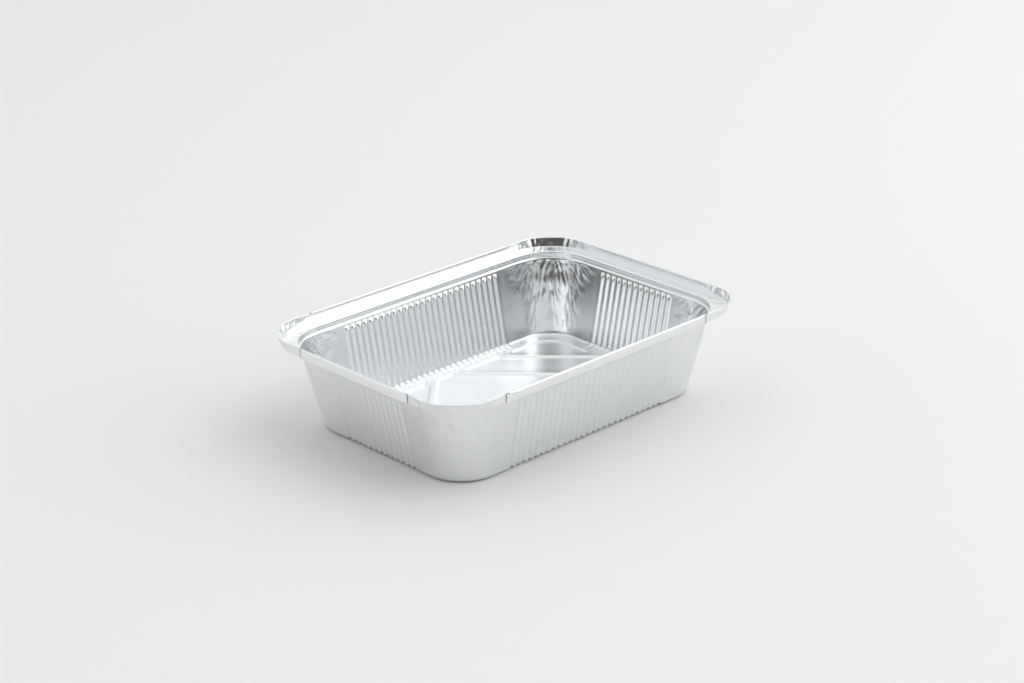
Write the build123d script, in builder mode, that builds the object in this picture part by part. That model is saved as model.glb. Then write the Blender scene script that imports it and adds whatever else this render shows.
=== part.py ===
import os
from math import atan2, cos, degrees, hypot, pi, radians, sin, sqrt

from build123d import *

# Foil container pressed from one blank of thin aluminium sheet, in millimetres.
# The origin is the middle of the underside, X runs along the long sides and +Z is up.
# Sizes are taken on the outside of the sheet, and the inside is one gauge further in.

overall_length = 214.0
overall_width = 151.6
overall_height = 52.0
gauge = 0.1

# Base: a raised border round the sunk panels that the tray stands on
base_length = 178.6
base_width = 118.1
base_corner_radius = 22.0
base_bend_radius = 1.8
border_width = 8.6
panel_depth = 0.7
panel_slope_run = 1.6
panel_bend_radius = 0.8
panel_outer_radius = 12.0
panel_corner_radius = 3.0
ridge_width = 2.4
ridge_spacing = 24.5
corner_panel_leg = 38.7

# Wall: drafted sides up to a short ledge, and a steep riser from there to the rim
wall_corner_radius = 25.0
ledge_width = 0.9
riser_height = 3.3
rim_bend_radius = 0.35

# Rim: a flat flange with an upright, whose edge is rolled outward along each side
flange_width = 6.6
upright_height = 5.3
rim_corner_radius = 27.0
rim_corner_drop = 0.3
roll_width = 1.4
roll_height = 5.4
roll_hem_radius = 0.45
roll_margin = 6.6

# Flutes pressed into the straight sides, and finer gathers round the corners
flute_pitch = 4.15
flute_width = 3.3
flute_depth = 0.85
flute_margin = 10.0
gather_pitch = 2.5
gather_width = 1.5
gather_depth = 0.3
groove_top_gap = 1.3

# Heights of the sheet's underside at each step
border_height = panel_depth
flange_height = overall_height - upright_height
ledge_height = flange_height - riser_height

# Length, width and corner radius of the outline at each step
upright_size = (
    overall_length - 2 * (roll_width - gauge),
    overall_width - 2 * (roll_width - gauge),
    rim_corner_radius,
)
riser_size = (
    upright_size[0] - 2 * flange_width,
    upright_size[1] - 2 * flange_width,
    wall_corner_radius + ledge_width,
)
wall_top_size = (
    riser_size[0] - 2 * ledge_width,
    riser_size[1] - 2 * ledge_width,
    wall_corner_radius,
)
base_size = (base_length, base_width, base_corner_radius)

# Flat field of the base that holds the panels, and where each ridge crosses its axes
field_length = base_length - 2 * border_width
field_width = base_width - 2 * border_width
outer_ridge_reach = (field_length + field_width) / 2 - corner_panel_leg
ridge_reaches = (outer_ridge_reach, outer_ridge_reach - ridge_spacing * sqrt(2))


def wall_size(height):
    """Length, width and corner radius of the wall at a height between base and ledge."""
    rise = (height - border_height) / (ledge_height - border_height)
    return [low + rise * (high - low) for low, high in zip(base_size, wall_top_size)]


def outline(height, size, inset):
    """Rounded rectangle at a height, drawn in by a depth into the sheet."""
    length, width, radius = size
    with BuildSketch(Plane.XY.offset(height)) as sketch:
        RectangleRounded(length - 2 * inset, width - 2 * inset, radius - inset)
    return sketch.sketch


def side_lines(foot, top, straight, outward, along):
    """Foot, top and outward direction of each flute line on one straight side."""
    count = int((straight - 2 * flute_margin) / flute_pitch)
    lines = []
    for number in range(count):
        shift = along * (number - (count - 1) / 2) * flute_pitch
        low = outward * foot + shift + Vector(0, 0, border_height)
        high = outward * top + shift + Vector(0, 0, ledge_height)
        lines.append((low, high, outward))
    return lines


def corner_lines():
    """Foot, top and outward direction of each gather line round one corner."""
    count = int(wall_corner_radius * pi / 2 / gather_pitch)
    lines = []
    for number in range(count):
        turn = radians(90) * (number + 0.5) / count
        outward = Vector(cos(turn), sin(turn), 0)
        ends = []
        for height in (border_height, ledge_height):
            length, width, radius = wall_size(height)
            centre = Vector(length / 2 - radius, width / 2 - radius, height)
            ends.append(centre + outward * radius)
        lines.append((*ends, outward))
    return lines


def pressed_grooves(lines, width, depth, inset):
    """Round-ended bars that press a groove of this mouth and depth along each line."""
    radius = width**2 / (8 * depth) + depth / 2
    frames = []
    for foot, top, outward in lines:
        up = (top - foot).normalized()
        normal = (outward - up * outward.dot(up)).normalized()
        start = top + normal * (radius - depth) - up * (groove_top_gap + width / 2)
        frames.append(Plane(origin=start, z_dir=-up))
    with BuildPart() as bars:
        with Locations(*frames):
            Cylinder(radius + inset, overall_height, align=(Align.CENTER, Align.CENTER, Align.MIN))
            Sphere(radius + inset)
    return bars.part


def wall_grooves(inset):
    """Every flute and gather, as bars to cut from the filled form."""
    long_side = side_lines(
        base_width / 2, wall_top_size[1] / 2, base_length - 2 * base_corner_radius,
        Vector(0, 1, 0), Vector(1, 0, 0),
    )
    short_side = side_lines(
        base_length / 2, wall_top_size[0] / 2, base_width - 2 * base_corner_radius,
        Vector(1, 0, 0), Vector(0, 1, 0),
    )
    long_bars = pressed_grooves(long_side, flute_width, flute_depth, inset)
    short_bars = pressed_grooves(short_side, flute_width, flute_depth, inset)
    corner_bars = pressed_grooves(corner_lines(), gather_width, gather_depth, inset)
    opposite_corners = [corner_bars, corner_bars.mirror(Plane.XZ)]
    return [
        long_bars, long_bars.mirror(Plane.XZ),
        short_bars, short_bars.mirror(Plane.YZ),
        *opposite_corners, *[bars.mirror(Plane.YZ) for bars in opposite_corners],
    ]


def from_middle(vertex):
    """Distance of a vertex from the vertical axis."""
    return hypot(vertex.X, vertex.Y)


def base_panels(inset):
    """Sunk panels: the base inside its border, apart from two rings of diagonal ridges."""
    slope = degrees(atan2(panel_slope_run, panel_depth))
    with BuildSketch() as ridges:
        for reach in ridge_reaches:
            side = reach * sqrt(2)
            Rectangle(side + ridge_width, side + ridge_width, rotation=45)
            Rectangle(side - ridge_width, side - ridge_width, rotation=45, mode=Mode.SUBTRACT)
    with BuildPart() as panels:
        with BuildSketch(Plane.XY.offset(border_height + inset)) as field:
            Rectangle(field_length, field_width)
            add(ridges.sketch, mode=Mode.SUBTRACT)
            fillet(field.vertices().sort_by(from_middle)[:-4], panel_corner_radius)
            fillet(field.vertices().sort_by(from_middle)[-4:], panel_outer_radius)
        extrude(amount=-panel_depth, taper=slope)
        fillet(panels.edges().group_by(Axis.Z)[0], panel_bend_radius)
    return panels.part


def filled_form(inset):
    """Solid under one surface of the sheet: its outside, or its inside at one gauge."""
    with BuildPart() as form:
        floor = border_height + inset
        ledge = ledge_height + inset
        flange = flange_height + inset
        loft([outline(height, wall_size(height), inset) for height in (floor, ledge)], ruled=True)
        fillet(form.edges().group_by(Axis.Z)[0], base_bend_radius - inset)
        extrude(outline(ledge, riser_size, inset), amount=riser_height)
        rim_top = overall_height - rim_corner_drop
        extrude(outline(flange, upright_size, inset), amount=rim_top - flange)
        for step in (1, 2):
            tread = form.faces().filter_by(Plane.XY).sort_by(Axis.Z)[step]
            fillet(tread.outer_wire().edges(), rim_bend_radius - inset)
            tread = form.faces().filter_by(Plane.XY).sort_by(Axis.Z)[step]
            fillet(tread.inner_wires()[0].edges(), rim_bend_radius + inset)
        add(wall_grooves(inset), mode=Mode.SUBTRACT)
        add(base_panels(inset))
    return form.part


roll_radius = (roll_width - gauge) / 2
roll_centre_height = overall_height - roll_width / 2


def rolled_edge(plane, upright_half, length):
    """Rolled edge on both ends of a section plane: up and over, down, and in at the hem."""
    middle = upright_half - gauge / 2
    outer = middle + 2 * roll_radius
    hem_height = overall_height - roll_height + gauge / 2 + roll_hem_radius
    with BuildPart() as roll:
        with BuildSketch(plane):
            with BuildLine():
                CenterArc((middle + roll_radius, roll_centre_height), roll_radius, 180, -180)
                Line((outer, roll_centre_height), (outer, hem_height))
                CenterArc((outer - roll_hem_radius, hem_height), roll_hem_radius, 0, -120)
            trace(line_width=gauge)
        extrude(amount=length / 2, both=True)
    return roll.part


roll_lengths = [size - 2 * (rim_corner_radius + roll_margin) for size in upright_size[:2]]

with BuildPart() as tray:
    add(filled_form(0))
    add(filled_form(gauge), mode=Mode.SUBTRACT)

    # The upright stops where the roll starts along each side
    with Locations((0, 0, roll_centre_height)):
        trim = (Align.CENTER, Align.CENTER, Align.MIN)
        Box(roll_lengths[0], overall_width, roll_width, align=trim, mode=Mode.SUBTRACT)
        Box(overall_length, roll_lengths[1], roll_width, align=trim, mode=Mode.SUBTRACT)
    long_roll = rolled_edge(Plane.YZ, upright_size[1] / 2, roll_lengths[0])
    short_roll = rolled_edge(Plane.XZ, upright_size[0] / 2, roll_lengths[1])
    add([long_roll, long_roll.mirror(Plane.XZ), short_roll, short_roll.mirror(Plane.YZ)])

tray.part.label = "tray"

os.makedirs("parts", exist_ok=True)
export_step(tray.part, "parts/tray.step")
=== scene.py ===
import math

import bpy
import numpy as np
from mathutils import Matrix, Vector, geometry


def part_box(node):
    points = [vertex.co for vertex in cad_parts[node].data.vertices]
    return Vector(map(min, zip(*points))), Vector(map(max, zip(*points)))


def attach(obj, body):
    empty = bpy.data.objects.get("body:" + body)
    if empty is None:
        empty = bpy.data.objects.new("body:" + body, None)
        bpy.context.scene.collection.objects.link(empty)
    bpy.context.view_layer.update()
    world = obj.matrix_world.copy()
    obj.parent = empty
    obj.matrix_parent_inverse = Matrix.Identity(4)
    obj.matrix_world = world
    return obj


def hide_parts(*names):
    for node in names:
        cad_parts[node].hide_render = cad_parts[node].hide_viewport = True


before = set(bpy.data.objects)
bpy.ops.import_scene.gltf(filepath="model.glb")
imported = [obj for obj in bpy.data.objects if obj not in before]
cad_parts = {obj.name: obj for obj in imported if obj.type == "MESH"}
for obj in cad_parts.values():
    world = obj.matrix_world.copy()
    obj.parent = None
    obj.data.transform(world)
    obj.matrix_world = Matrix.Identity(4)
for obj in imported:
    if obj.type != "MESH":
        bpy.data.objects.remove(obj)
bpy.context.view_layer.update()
print("frame loaded")

mm = 0.001
lowCorner, highCorner = [np.array(corner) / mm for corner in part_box("tray")]

# the tray's section in millimetres, on the outside of the sheet
tray = {
    "halfLength": (highCorner[0] - lowCorner[0]) / 2,
    "halfWidth": (highCorner[1] - lowCorner[1]) / 2,
    "height": highCorner[2],
    "gauge": 0.1,
    "baseHalf": (89.3, 59.05), "baseRadius": 22.0, "baseBend": 1.8, "ringInset": 3.2,
    "ledge": 0.9, "riser": 3.3, "wallRadius": 25.0, "stepBend": 0.4,
    "flange": 6.6, "upright": 5.3, "rimRadius": 27.0,
    "rollWidth": 1.4, "rollHeight": 5.4, "hemRadius": 0.45, "rollMargin": 6.6,
    "edgeRise": 0.4,                    # open corner edge above the start of the roll
    "flare": 1.7,                       # how far the open corner edge leans out
}

# how many faces each stretch of the shell is divided into
grid = {"perFlute": 8, "rolled": 7, "plain": 3, "corner": 76, "wallLow": 36, "wallTop": 8}

flutes = {
    "pitch": 4.15, "counts": (13, 27),    # flutes on an end wall and on a long wall
    "depth": 0.85, "topGap": 1.3, "end": 2.0,
}


def softNoise(u, v, seed):
    # value noise: random heights on a square lattice, joined by the smooth step 3f^2 - 2f^3
    table = np.random.default_rng(seed).uniform(-1, 1, (256, 256))
    i, j = np.floor(u).astype(int), np.floor(v).astype(int)
    f, g = u - i, v - j
    f, g = f * f * (3 - 2 * f), g * g * (3 - 2 * g)
    near = table[i % 256, j % 256] * (1 - f) + table[(i + 1) % 256, j % 256] * f
    far = table[i % 256, (j + 1) % 256] * (1 - f) + table[(i + 1) % 256, (j + 1) % 256] * f
    return near * (1 - g) + far * g


def smoothStep(x, low, high):
    f = np.clip((x - low) / (high - low), 0, 1)
    return f * f * (3 - 2 * f)


def bend(before, corner, after, radius, steps):
    # arc that touches both straight runs of the section at one of its corners
    before, corner, after = (np.array(p, float) for p in (before, corner, after))
    back = (before - corner) / np.linalg.norm(before - corner)
    ahead = (after - corner) / np.linalg.norm(after - corner)
    half = math.acos(back @ ahead) / 2
    middle = corner + (back + ahead) / np.linalg.norm(back + ahead) * radius / math.sin(half)
    start = corner + back * radius / math.tan(half) - middle
    end = corner + ahead * radius / math.tan(half) - middle
    turn = math.pi - 2 * half
    f = np.linspace(0, 1, steps + 1)[:, None]
    return middle + (np.sin((1 - f) * turn) * start + np.sin(f * turn) * end) / math.sin(turn)


def between(start, end, steps):
    # points that divide a straight run into equal steps, without its ends
    f = np.linspace(0, 1, steps + 1)[1:-1, None]
    return np.array(start) * (1 - f) + np.array(end) * f


# Half length, half width and corner radius of the outline at each step of the section
t = tray
uprightHalf = np.array([t["halfLength"], t["halfWidth"]]) - (t["rollWidth"] - t["gauge"])
riserHalf = uprightHalf - t["flange"]
wallTopHalf = riserHalf - t["ledge"]
outlines = np.array([
    (t["baseHalf"][0] - 20, t["baseHalf"][1] - 20, t["baseRadius"] - 20),
    (*t["baseHalf"], t["baseRadius"]),
    (*wallTopHalf, t["wallRadius"]),
    (*riserHalf, t["wallRadius"] + t["ledge"]),
    (*uprightHalf, t["rimRadius"]),
    (*(uprightHalf + 5), t["rimRadius"] + 5),
])

borderZ = 0.7
flangeZ = t["height"] - t["upright"]
ledgeZ = flangeZ - t["riser"]
rollZ = t["height"] - t["rollWidth"] / 2


def traySection():
    # the section from the border of the base outwards and up, as half length and height, with the
    # row where each stretch starts: wall, ledge, flange, upright and roll
    foot, top = (t["baseHalf"][0], borderZ), (wallTopHalf[0], ledgeZ)
    step, lip = (riserHalf[0], ledgeZ), (riserHalf[0], flangeZ)
    rim, edge = (uprightHalf[0], flangeZ), (uprightHalf[0], rollZ)
    inside = (foot[0] - t["ringInset"], borderZ)
    footBend = bend(inside, foot, top, t["baseBend"], 3)
    topBend = bend(foot, top, step, t["stepBend"], 2)
    stepBend = bend(top, step, lip, t["stepBend"], 2)
    lipBend = bend(step, lip, rim, t["stepBend"], 3)
    rimBend = bend(lip, rim, edge, t["stepBend"], 3)
    wallLow = np.linspace(0, 0.9, grid["wallLow"] + 1)[:-1]
    share = np.append(wallLow, np.linspace(0.9, 1, grid["wallTop"] + 1))
    wall = footBend[-1] + (topBend[0] - footBend[-1]) * share[1:-1, None]
    radius = (t["rollWidth"] - t["gauge"]) / 2
    over = np.radians(np.linspace(180, 0, 8))
    roll = np.array([edge[0] + radius, rollZ]) + radius * np.stack([np.cos(over), np.sin(over)], 1)
    hemZ = t["height"] - t["rollHeight"] + t["hemRadius"]
    turn = np.radians(np.linspace(0, -130, 5))
    hem = np.array([edge[0] + 2 * radius - t["hemRadius"], hemZ])
    hem = hem + t["hemRadius"] * np.stack([np.cos(turn), np.sin(turn)], 1)
    stretches = [
        ("ring", [inside, *footBend]), ("wall", wall), ("ledge", [*topBend, *stepBend]),
        ("riser", between(stepBend[-1], lipBend[0], 2)), ("flange", lipBend),
        ("flat", between(lipBend[-1], rimBend[0], 5)), ("upright", rimBend),
        ("stand", between(rimBend[-1], edge, 4)), ("roll", roll),
        ("leg", between(roll[-1], hem[0], 3)), ("hem", hem),
    ]
    starts = np.cumsum([0] + [len(points) for name, points in stretches])
    rows = dict(zip([name for name, points in stretches], starts))
    return np.vstack([np.array(points) for name, points in stretches]), rows


def perimeterStations():
    # places round the outline, anticlockwise: on a side a station is a fixed distance from the
    # middle, plus a share of the plain stretch; in a corner it is an angle
    fixed, share, normal, sign, major, wave, corner = [], [], [], [], [], [], []
    for side in range(4):
        axis = side % 2
        reach = flutes["counts"][axis] * flutes["pitch"] / 2
        straight = uprightHalf[1 - axis] - t["rimRadius"]
        rolled = (straight - t["rollMargin"] - reach) / (straight - reach)
        plain = np.append(np.linspace(0, rolled, grid["rolled"] + 1)[1:],
                          np.linspace(rolled, 1, grid["plain"] + 1)[1:])
        count = flutes["counts"][axis] * grid["perFlute"] + 1
        field = np.linspace(-reach, reach, count)
        outward = np.array([math.cos(side * math.pi / 2), math.sin(side * math.pi / 2)])
        along = np.array([-outward[1], outward[0]])
        onSide = np.concatenate([np.full(len(plain), -reach), field, np.full(len(plain), reach)])
        fixed.append(onSide[:, None] * along)
        share.append(np.concatenate([-plain[::-1], np.zeros(count), plain])[:, None] * along)
        normal.append(np.repeat(outward[None], count + 2 * len(plain), 0))
        sign.append(np.repeat(outward[None], count + 2 * len(plain), 0))
        major.append(np.concatenate([plain > 0, np.arange(count) % grid["perFlute"] == 0, plain > 0]))
        bump = 0.5 + 0.5 * np.cos(2 * np.pi * field / flutes["pitch"])
        wave.append(np.concatenate([plain * 0, bump, plain * 0]))
        turn = np.linspace(0, math.pi / 2, grid["corner"] + 1)[1:-1] + side * math.pi / 2
        fixed.append(np.zeros((len(turn), 2)))
        share.append(np.zeros((len(turn), 2)))
        normal.append(np.stack([np.cos(turn), np.sin(turn)], 1))
        middle = (side + 0.5) * math.pi / 2
        sign.append(np.repeat(np.sign([[math.cos(middle), math.sin(middle)]]), len(turn), 0))
        major.append(turn > -1)
        wave.append(turn * 0)
    joined = [np.concatenate(x) for x in (fixed, share, normal, sign, major, wave)]
    return dict(zip(("fixed", "share", "normal", "sign", "major", "wave"), joined))


def gridFaces(columns, rows):
    # every four neighbours of a block of the shell's grid, as indices that face outwards
    c, r = np.meshgrid(columns, rows, indexing="ij")
    at = c * rowCount + r
    return np.stack([at[:-1, :-1], at[1:, :-1], at[1:, 1:], at[:-1, 1:]], -1).reshape(-1, 4)


section, rowOf = traySection()
stations = perimeterStations()
rowCount = len(section)
stationCount = len(stations["major"])

# Place of every station at every row: its corner centre, slid along the side, plus the radius outwards
halfX = section[:, 0]
halfY = np.interp(halfX, outlines[:, 0], outlines[:, 1])
radius = np.interp(halfX, outlines[:, 0], outlines[:, 2])
half = np.stack([halfX - radius, halfY - radius], 1)
reach = np.array([flutes["counts"][1], flutes["counts"][0]]) * flutes["pitch"] / 2
flat = (stations["sign"][:, None] * half + stations["fixed"][:, None]
        + stations["share"][:, None] * (half - reach) + stations["normal"][:, None] * radius[:, None])
shell = np.dstack([flat, np.broadcast_to(section[:, 1], flat.shape[:2])])

# Outward direction of the surface: along the perimeter crossed with up the section
acrossStations = np.roll(shell, -1, 0) - np.roll(shell, 1, 0)
outward = np.cross(acrossStations, np.gradient(shell, axis=1))
outward /= np.linalg.norm(outward, axis=2, keepdims=True)

# Distance along the outline from the middle of the nearest corner, and down the wall from the ledge
step = np.linalg.norm(np.roll(shell, -1, 0) - shell, axis=2)
travelled = np.vstack([np.zeros(rowCount), np.cumsum(step, 0)[:-1]])
cornerEnds = np.flatnonzero((np.abs(stations["normal"]).min(1) > 1e-6))
cornerMiddles = cornerEnds.reshape(4, -1)[:, grid["corner"] // 2 - 1]
total = step.sum(0)
away = travelled[:, None] - travelled[cornerMiddles][None]
away = (away + total / 2) % total - total / 2
nearest = np.abs(away).argmin(1)
aside = np.take_along_axis(away, nearest[:, None], 1)[:, 0]
upSection = np.append(0, np.cumsum(np.linalg.norm(np.diff(section, axis=0), axis=1)))
down = np.broadcast_to(upSection[rowOf["ledge"]] - upSection, aside.shape)
seedShift = nearest * 37.3

rowIndex = np.arange(rowCount)

# Flutes: half waves pressed inwards, rounded off below the ledge
fluteEnd = smoothStep(down, flutes["topGap"], flutes["topGap"] + flutes["end"]) * (rowIndex >= 1)
fluteHeight = -flutes["depth"] * stations["wave"][:, None] * fluteEnd

# Crumple of the corners: ridged noise drawn out along lines that fan down from above the ledge
crumple = {
    "fanHeight": 22.0,                  # of the point the folds fan out from, above the ledge
    "folds": ((15, 12, 0.15), (27, 9, 0.11), (46, 7, 0.07)),    # folds a radian, length, height
    "fine": ((1.25, 9, 0.05), (0.8, 6, 0.035)),                 # width, length, height
    "spread": 15.5, "tongue": 14.0, "tongueDepth": 26.0,
    "step": 0.07, "rim": 0.14, "edge": 0.36, "sway": 0.03,
}
fanAngle = np.arctan2(aside, crumple["fanHeight"] + down)
fanReach = np.hypot(aside, crumple["fanHeight"] + down)
ragged = 3.0 * softNoise(fanAngle * 14 + seedShift, fanReach / 9, 5)
limit = crumple["spread"] + crumple["tongue"] * (1 - smoothStep(down, 2, crumple["tongueDepth"])) + ragged
inCorner = 1 - smoothStep(np.abs(aside), limit - 3, limit + 3)
bent = 0.35 * softNoise(aside / 5 + seedShift, down / 6, 9)


def ridges(u, v, seed):
    return 1 - 2.2 * np.abs(softNoise(u, v, seed))


folds = sum(
    height * ridges(fanAngle * often + bent + seedShift, fanReach / length, 10 + i)
    for i, (often, length, height) in enumerate(crumple["folds"]))
fineFolds = sum(
    height * ridges(aside / width + seedShift, down / length, 15 + i)
    for i, (width, length, height) in enumerate(crumple["fine"]))
wallCrumple = inCorner * (folds * (1 - 0.45 * smoothStep(down, 12, 30)) + fineFolds)
wallFoot = upSection[rowOf["wall"]]
wallCrumple *= smoothStep(down, 0.2, 2.0) * smoothStep(upSection, upSection[rowOf["wall"] - 1], wallFoot + 2)

# The flange and the upright pucker round each corner
rimCorner = 1 - smoothStep(np.abs(aside), crumple["spread"] + 4.5, crumple["spread"] + 9)
slant = upSection / 9 + 0 * aside
pucker = softNoise(aside / 1.7 + slant + seedShift, upSection / 4 + 0 * aside, 21)
pucker = pucker + 0.9 * softNoise(aside / 0.95 - slant + seedShift, upSection / 3 + 0 * aside, 22)
onFlange = smoothStep(upSection, upSection[rowOf["flange"]], upSection[rowOf["flat"]] + 2)
onEdge = smoothStep(upSection, upSection[rowOf["upright"]], upSection[rowOf["roll"]])
onEdge = onEdge * (rowIndex <= rowOf["roll"] + 1)
onStep = smoothStep(upSection, upSection[rowOf["ledge"]] - 1, upSection[rowOf["ledge"]] + 1)
puckerHeight = crumple["step"] * onStep + (crumple["rim"] - crumple["step"]) * onFlange
puckerHeight = puckerHeight + (crumple["edge"] - crumple["rim"]) * onEdge
rimCrumple = rimCorner * pucker * puckerHeight
rimCrumple = rimCrumple * (rowIndex <= rowOf["roll"] + 1)

# The whole sheet sways a little
sway = crumple["sway"] * softNoise(shell[..., 0] / 19 + shell[..., 2] / 31, shell[..., 1] / 17, 31)
sway = sway * smoothStep(rowIndex, 1, rowOf["wall"] + 6)

shell = shell + outward * (fluteHeight + wallCrumple + rimCrumple + sway)[..., None]

# Round the corners the upright has no roll: it leans out, and its edge ends one row above the roll's start
edgeRow = rowOf["roll"] + 1
slide = np.abs((stations["share"] * (uprightHalf - t["rimRadius"] - reach) + stations["fixed"])).max(1)
side = np.abs(stations["share"]).argmax(1)
rolledReach = (uprightHalf - t["rimRadius"] - t["rollMargin"])[side]
isPlainSide = np.abs(stations["share"]).max(1) > 0
isCorner = np.abs(stations["normal"]).min(1) > 1e-6
openEdge = isCorner | (isPlainSide & (slide > rolledReach + 1e-6))
shell[openEdge, edgeRow, :] = shell[openEdge, edgeRow - 1, :] + (0, 0, t["edgeRise"])
raggedEdge = 0.25 * softNoise(aside[:, edgeRow] / 1.7, 0 * aside[:, edgeRow], 23)
shell[openEdge, edgeRow, 2] += raggedEdge[openEdge]
lean = smoothStep(upSection, upSection[rowOf["upright"]], upSection[rowOf["roll"]] + 1.0) * (rowIndex <= edgeRow)
lean = t["flare"] * lean * (1 - smoothStep(np.abs(aside), 8, 26))
shell[..., :2] += stations["normal"][:, None] * lean[..., None]

# The roll is squeezed towards the upright at its ends
rollRows = np.arange(rowOf["roll"], rowCount)
fromEnd = np.maximum(rolledReach - slide, 0)
squeeze = np.where(isPlainSide & ~openEdge, 0.25 + 0.75 * smoothStep(fromEnd, 0, 6), 1)[:, None, None]
rollBase = shell[:, [rowOf["roll"]], :2]
shell[:, rollRows, :2] = rollBase + (shell[:, rollRows, :2] - rollBase) * squeeze
print("shell worked out:", stationCount, "stations,", rowCount, "rows")

# Faces: fine blocks in the corners, coarse ones on the straight sides, joined by strips of many-sided faces
ringColumns = np.append(np.arange(stationCount), 0)
fieldStarts, fieldEnds = [], []
first = 0
for sideNumber in range(4):
    plainCount = grid["rolled"] + grid["plain"]
    fieldCount = flutes["counts"][sideNumber % 2] * grid["perFlute"] + 1
    fieldStarts.append(first + plainCount)
    fieldEnds.append(first + plainCount + fieldCount - 1)
    first += 2 * plainCount + fieldCount + grid["corner"] - 1
wallFirst, wallLast = rowOf["wall"] - 1, rowOf["ledge"] - 1
wallRows = np.arange(wallFirst, wallLast + 1)
coarseRows = np.concatenate([
    wallFirst + np.array([0, 1, 3]), np.linspace(wallFirst + 8, wallLast - 8, 6).round().astype(int),
    wallLast - np.array([6, 4, 3, 2, 1, 0]),
])
faces = [gridFaces(ringColumns, np.arange(0, wallFirst + 1))]
manySided = []
upperColumns = np.append(np.flatnonzero(stations["major"]), 0)
for start, end, previous in zip(fieldStarts, fieldEnds, [fieldEnds[-1] - stationCount] + fieldEnds[:-1]):
    faces.append(gridFaces(np.arange(previous, start + 1) % stationCount, np.arange(wallFirst, wallLast + 2)))
    faces.append(gridFaces(np.arange(start + 1, end), coarseRows))
    for low, high in zip(coarseRows[:-1], coarseRows[1:]):
        rise = np.arange(low, high + 1)
        afterStart, beforeEnd = (start + 1) * rowCount, (end - 1) * rowCount
        manySided.append([afterStart + low, afterStart + high, *(start * rowCount + rise[::-1])])
        manySided.append([beforeEnd + high, beforeEnd + low, *(end * rowCount + rise)])
    fans = np.arange(start, end, grid["perFlute"])[:, None] + np.arange(grid["perFlute"] + 1)
    lowerEdge = fans * rowCount + wallLast
    upperEdge = fans[:, [-1, 0]] * rowCount + wallLast + 1
    manySided += np.hstack([lowerEdge, upperEdge]).tolist()
faces.append(gridFaces(upperColumns, np.arange(wallLast + 1, rowOf["roll"] + 1)))
for start, end in zip(fieldStarts, fieldEnds):
    columns = np.arange(start - grid["rolled"], end + grid["rolled"] + 1)
    columns = columns[stations["major"][columns]]
    faces.append(gridFaces(columns, np.arange(rowOf["roll"], rowCount)))
    following = columns[-1] + np.arange(2 * grid["plain"] + grid["corner"] + 1)
    faces.append(gridFaces(following % stationCount, np.arange(rowOf["roll"], edgeRow + 1)))

# The base plate
base = {
    "depth": 0.7, "border": 8.6, "outerRadius": 12.0, "cornerRadius": 3.0,
    "ridge": 2.4, "spacing": 24.5, "leg": 38.7, "slope": (-0.3, 1.9),
    "levels": (-0.3, 0.0, 0.35, 0.75, 1.15, 1.55, 1.9), "lattice": 4.2, "sway": 0.16,
}
fieldHalf = np.array(t["baseHalf"]) - base["border"]
outerReach = fieldHalf.sum() - base["leg"]
ridgeReaches = (outerReach, outerReach - base["spacing"] * math.sqrt(2))


def roundedLoop(corners, radii, inset, spacing=2.2):
    # straight-sided outline moved inwards, with an arc at each corner: each side is shifted along its
    # own normal, neighbours are crossed again, and the arc touches both
    corners = np.array(corners, float)
    ahead = np.roll(corners, -1, 0) - corners
    ahead /= np.linalg.norm(ahead, axis=1, keepdims=True)
    left = np.stack([-ahead[:, 1], ahead[:, 0]], 1)
    points = []
    for i, radius in enumerate(radii):
        before, after = left[i - 1], left[i]
        sides = np.array([before, after])
        crossing = np.linalg.solve(sides, sides @ corners[i] + inset)
        turn = math.atan2(np.cross(ahead[i - 1], ahead[i]), ahead[i - 1] @ ahead[i])
        size = max(radius - inset, 0.4) if turn > 0 else radius + inset
        count = max(3, int(abs(turn) * size / 1.2) + 2)
        run = size * math.tan(abs(turn) / 2)
        centre = crossing - ahead[i - 1] * run + math.copysign(size, turn) * before
        angle = math.atan2(-math.copysign(1, turn) * before[1], -math.copysign(1, turn) * before[0])
        swing = angle + np.linspace(0, turn, count)
        points.append(centre + size * np.stack([np.cos(swing), np.sin(swing)], 1))
    loop = []
    for i, arc in enumerate(points):
        following = points[(i + 1) % len(points)][0]
        steps = max(1, int(np.linalg.norm(following - arc[-1]) / spacing))
        loop += [arc, between(arc[-1], following, steps)]
    return np.vstack(loop)


def panelOutlines():
    # corners, anticlockwise, of the panels that two diamond ridges leave in the field
    x, y = fieldHalf
    half = base["ridge"] / math.sqrt(2)
    outer, inner = ridgeReaches
    lozenge, ring, corner = inner - half, (inner + half, outer - half), outer + half
    soft, wide = base["cornerRadius"], base["outerRadius"]
    middle = [(lozenge, 0), (lozenge - y, y), (y - lozenge, y), (-lozenge, 0), (y - lozenge, -y), (lozenge - y, -y)]
    chevron = [(ring[0], 0), (ring[0] - y, -y), (ring[1] - y, -y), (x, x - ring[1]), (x, ring[1] - x),
               (ring[1] - y, y), (ring[0] - y, y)]
    triangle = [(x, y), (corner - y, y), (x, corner - x)]
    outlines = [(middle, [soft] * 6), (chevron, [soft] * 7), ([(-a, -b) for a, b in chevron], [soft] * 7)]
    for sx, sy in ((1, 1), (-1, -1)):
        outlines.append(([(sx * a, sy * b) for a, b in triangle], [wide, soft, soft]))
        outlines.append(([(-sx * a, sy * b) for a, b in triangle[::-1]], [soft, soft, wide]))
    return outlines


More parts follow.
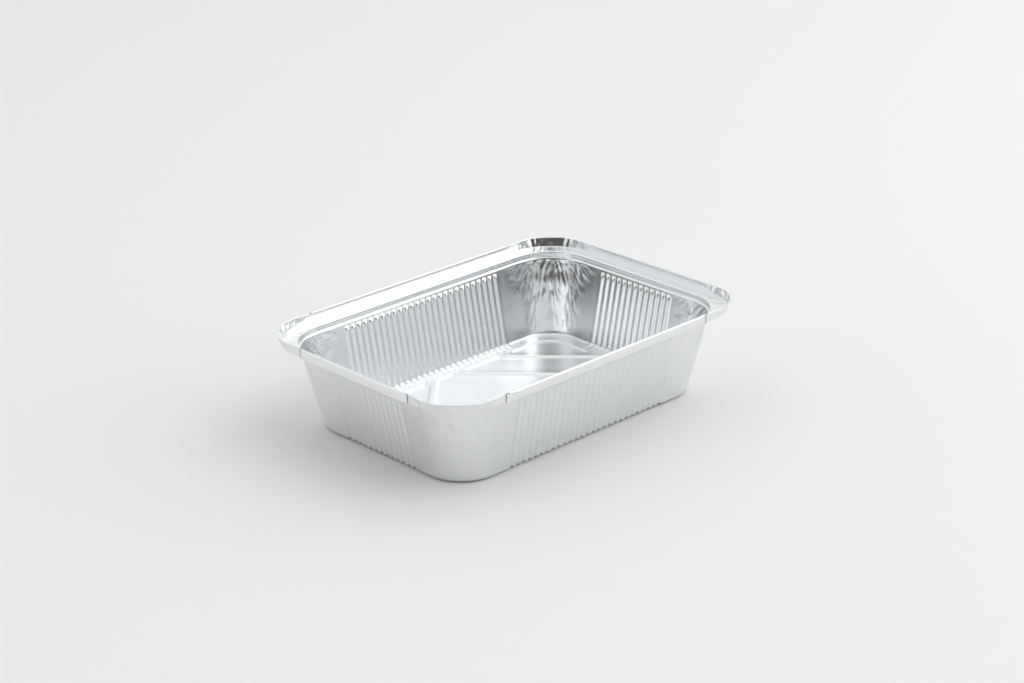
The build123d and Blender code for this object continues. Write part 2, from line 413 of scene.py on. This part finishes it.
loopPoints, loopHeights, loopEdges = [flat[:, 0]], [np.full(stationCount, borderZ)], []
ringIndex = np.arange(stationCount)
loopEdges.append(np.stack([ringIndex, np.roll(ringIndex, -1)], 1))
used = stationCount
for corners, radii in panelOutlines():
    for level in base["levels"]:
        loop = roundedLoop(corners, radii, level)
        index = np.arange(len(loop)) + used
        used += len(loop)
        loopPoints.append(loop)
        loopHeights.append(np.full(len(loop), base["depth"] * (1 - smoothStep(level, *base["slope"]))))
        loopEdges.append(np.stack([index, np.roll(index, -1)], 1))
onLoops = np.vstack(loopPoints)
nx, ny = (2 * np.array(t["baseHalf"]) / base["lattice"]).astype(int)
latticeX, latticeY = np.meshgrid(
    np.linspace(-1, 1, nx) * t["baseHalf"][0], np.linspace(-1, 1, ny) * t["baseHalf"][1])
lattice = np.stack([latticeX.ravel(), latticeY.ravel()], 1)
clear = np.array([np.linalg.norm(onLoops - point, axis=1).min() for point in lattice]) > base["lattice"] * 0.55
corner = np.maximum(np.abs(lattice) - (fieldHalf - base["outerRadius"]), 0)
insideField = np.linalg.norm(corner, axis=1) < base["outerRadius"]
diamond = np.abs(lattice).sum(1)
toRidge = np.min([np.abs(diamond - middle) for middle in ridgeReaches], axis=0) / math.sqrt(2)
offRidge = toRidge > base["ridge"] / 2
sizeCorner = np.maximum(np.abs(lattice) - (np.array(t["baseHalf"]) - t["baseRadius"]), 0)
insideRing = np.linalg.norm(sizeCorner, axis=1) < t["baseRadius"] - t["ringInset"] - 1
clear &= insideRing
points = np.vstack([onLoops, lattice[clear]])
heights = np.concatenate([*loopHeights, np.where(insideField & offRidge, 0, base["depth"])[clear]])
edges = np.vstack(loopEdges)
result = geometry.delaunay_2d_cdt([Vector(p) for p in points], edges.tolist(), [], 1, 1e-6)
plateXY = np.array([tuple(p) for p in result[0]])
origin = np.array([ids[0] if ids else -1 for ids in result[3]])
print("base plate:", len(points), "points in,", len(plateXY), "out,", len(result[2]), "triangles", (origin < 0).sum())
plateZ = np.where(origin >= 0, heights[np.maximum(origin, 0)], borderZ)
edgeFade = smoothStep(t["baseHalf"][0] - t["ringInset"] - np.abs(plateXY[:, 0]), 0, 8)
edgeFade = edgeFade * smoothStep(t["baseHalf"][1] - t["ringInset"] - np.abs(plateXY[:, 1]), 0, 8)
plateZ = plateZ + edgeFade * base["sway"] * (0.5 + 0.5 * softNoise(plateXY[:, 0] / 14, plateXY[:, 1] / 11, 41))
plate = np.column_stack([plateXY, plateZ])

# One mesh
places = np.vstack([shell.reshape(-1, 3), plate])
shellSize = stationCount * rowCount
plateIndex = np.where((origin >= 0) & (origin < stationCount), origin * rowCount, np.arange(len(plate)) + shellSize)
triangles = plateIndex[np.array(result[2])][:, ::-1]
polygons = [face for block in faces for face in block.tolist()] + manySided + triangles.tolist()
keep = np.unique(np.concatenate([np.ravel(x) for x in polygons]))
renumber = np.full(len(places), -1)
renumber[keep] = np.arange(len(keep))
mesh = bpy.data.meshes.new("foilTray")
mesh.from_pydata((places[keep] * mm).tolist(), [], [renumber[np.array(face)].tolist() for face in polygons])
mesh.update()
print("problems in mesh:", mesh.validate(verbose=True), len(mesh.vertices), "vertices", len(mesh.polygons), "faces")
mesh.shade_smooth()
foilTray = bpy.data.objects.new("foilTray", mesh)
bpy.context.scene.collection.objects.link(foilTray)
solid = foilTray.modifiers.new("sheet", "SOLIDIFY")
solid.thickness = t["gauge"] * mm
solid.offset = -1
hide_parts("tray")
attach(foilTray, "root")


def hexColour(code):
    # sRGB hex to linear light
    values = [int(code[i:i + 2], 16) / 255 for i in (0, 2, 4)]
    return (*[v / 12.92 if v <= 0.04045 else ((v + 0.055) / 1.055) ** 2.4 for v in values], 1)


def addNode(tree, kind, settings=None, **inputs):
    # one node, with its settings, its input values and its links
    node = tree.nodes.new(kind)
    for name, value in (settings or {}).items():
        setattr(node, name, value)
    for name, value in inputs.items():
        socket = node.inputs[name.replace("_", " ")]
        if isinstance(value, bpy.types.NodeSocket):
            tree.links.new(value, socket)
        else:
            socket.default_value = value
    return node


def pressedFoil(name, flatRoughness, wallRoughness):
    material = bpy.data.materials.new(name)
    material.use_nodes = True
    tree = material.node_tree
    tree.nodes.clear()
    place = addNode(tree, "ShaderNodeTexCoord").outputs["Object"]
    height = addNode(tree, "ShaderNodeSeparateXYZ", Vector=place).outputs["Z"]
    dull = addNode(tree, "ShaderNodeMapRange", {"interpolation_type": "SMOOTHSTEP"}, Value=height,
                   From_Min=0.001, From_Max=0.005, To_Min=flatRoughness, To_Max=wallRoughness)
    grain = addNode(tree, "ShaderNodeTexNoise", Vector=place, Scale=900.0, Detail=3.0)
    bump = addNode(tree, "ShaderNodeBump", Strength=0.12, Distance=0.0001, Height=grain.outputs["Fac"])
    metal = addNode(tree, "ShaderNodeBsdfPrincipled", Base_Color=hexColour("EFF1F2"), Metallic=1.0,
                    Roughness=dull.outputs["Result"], Normal=bump.outputs["Normal"])
    addNode(tree, "ShaderNodeOutputMaterial", Surface=metal.outputs["BSDF"])
    return material


# Foil is rolled two sheets at a time: the side that met the rolls is bright, the other one matte
foilTray.data.materials.append(pressedFoil("matteRolledFoil", 0.4, 0.38))
foilTray.data.materials.append(pressedFoil("brightRolledFoil", 0.34, 0.22))
solid.material_offset = 1


def matte(name, code):
    material = bpy.data.materials.new(name)
    material.use_nodes = True
    shader = material.node_tree.nodes["Principled BSDF"]
    shader.inputs["Base Color"].default_value = hexColour(code)
    shader.inputs["Roughness"].default_value = 0.9
    shader.inputs["Specular IOR Level"].default_value = 0.1
    return material


floorMesh = bpy.data.meshes.new("floor")
floorMesh.from_pydata([(-4, -4, -2e-5), (4, -4, -2e-5), (4, 4, -2e-5), (-4, 4, -2e-5)], [], [(0, 1, 2, 3)])
floor = bpy.data.objects.new("floor", floorMesh)
bpy.context.scene.collection.objects.link(floor)
floorMesh.materials.append(matte("floorPaper", "F0F0F0"))

world = bpy.data.worlds.new("studio")
bpy.context.scene.world = world
world.use_nodes = True
world.node_tree.nodes.clear()
wt = world.node_tree
ray = addNode(wt, "ShaderNodeLightPath")
direction = addNode(wt, "ShaderNodeTexCoord").outputs["Generated"]
studio = {"open": 0.93, "dark": 0.08, "towards": (-0.69, -0.72, 0.05), "edge": (0.42, 0.82)}
facing = addNode(wt, "ShaderNodeVectorMath", {"operation": "DOT_PRODUCT"})
wt.links.new(direction, facing.inputs[0])
facing.inputs[1].default_value = studio["towards"]
shade = addNode(wt, "ShaderNodeMapRange", {"interpolation_type": "SMOOTHSTEP"}, Value=facing.outputs["Value"],
                From_Min=studio["edge"][0], From_Max=studio["edge"][1], To_Min=studio["open"], To_Max=studio["dark"])
seen = addNode(wt, "ShaderNodeMath", {"operation": "MAXIMUM"})
wt.links.new(ray.outputs["Is Camera Ray"], seen.inputs[0])
wt.links.new(shade.outputs["Result"], seen.inputs[1])
background = addNode(wt, "ShaderNodeBackground", Color=(1, 1, 1, 1), Strength=seen.outputs["Value"])
addNode(wt, "ShaderNodeOutputWorld", Surface=background.outputs["Background"])


def softbox(name, place, target, size, power):
    data = bpy.data.lights.new(name, "AREA")
    data.shape = "RECTANGLE"
    data.size, data.size_y = size
    data.energy = power
    lamp = bpy.data.objects.new(name, data)
    lamp.location = place
    lamp.rotation_euler = (Vector(target) - Vector(place)).to_track_quat("-Z", "Y").to_euler()
    bpy.context.scene.collection.objects.link(lamp)
    return lamp


softbox("keyLight", (1.3, -1.0, 1.3), (0, 0, 0), (2.6, 2.6), 18)

# Camera: placed by its direction round and above the tray
azimuth, elevation, roll = -0.76043, 0.39152, -0.0143
back = Vector((math.sin(azimuth) * math.cos(elevation), -math.cos(azimuth) * math.cos(elevation),
               math.sin(elevation)))
right = Vector((math.cos(azimuth), math.sin(azimuth), 0))
up = back.cross(right)
sideways = math.cos(roll) * right + math.sin(roll) * up
upright = -math.sin(roll) * right + math.cos(roll) * up
cameraData = bpy.data.cameras.new("camera")
cameraData.lens = 79.33
cameraData.sensor_width = 36
cameraObject = bpy.data.objects.new("camera", cameraData)
cameraObject.matrix_world = Matrix.Translation((-0.7536, -0.79551, 0.48841)) @ Matrix(
    (sideways, upright, back)).transposed().to_4x4()
bpy.context.scene.collection.objects.link(cameraObject)
bpy.context.scene.camera = cameraObject
bpy.context.scene.view_settings.view_transform = "Standard"
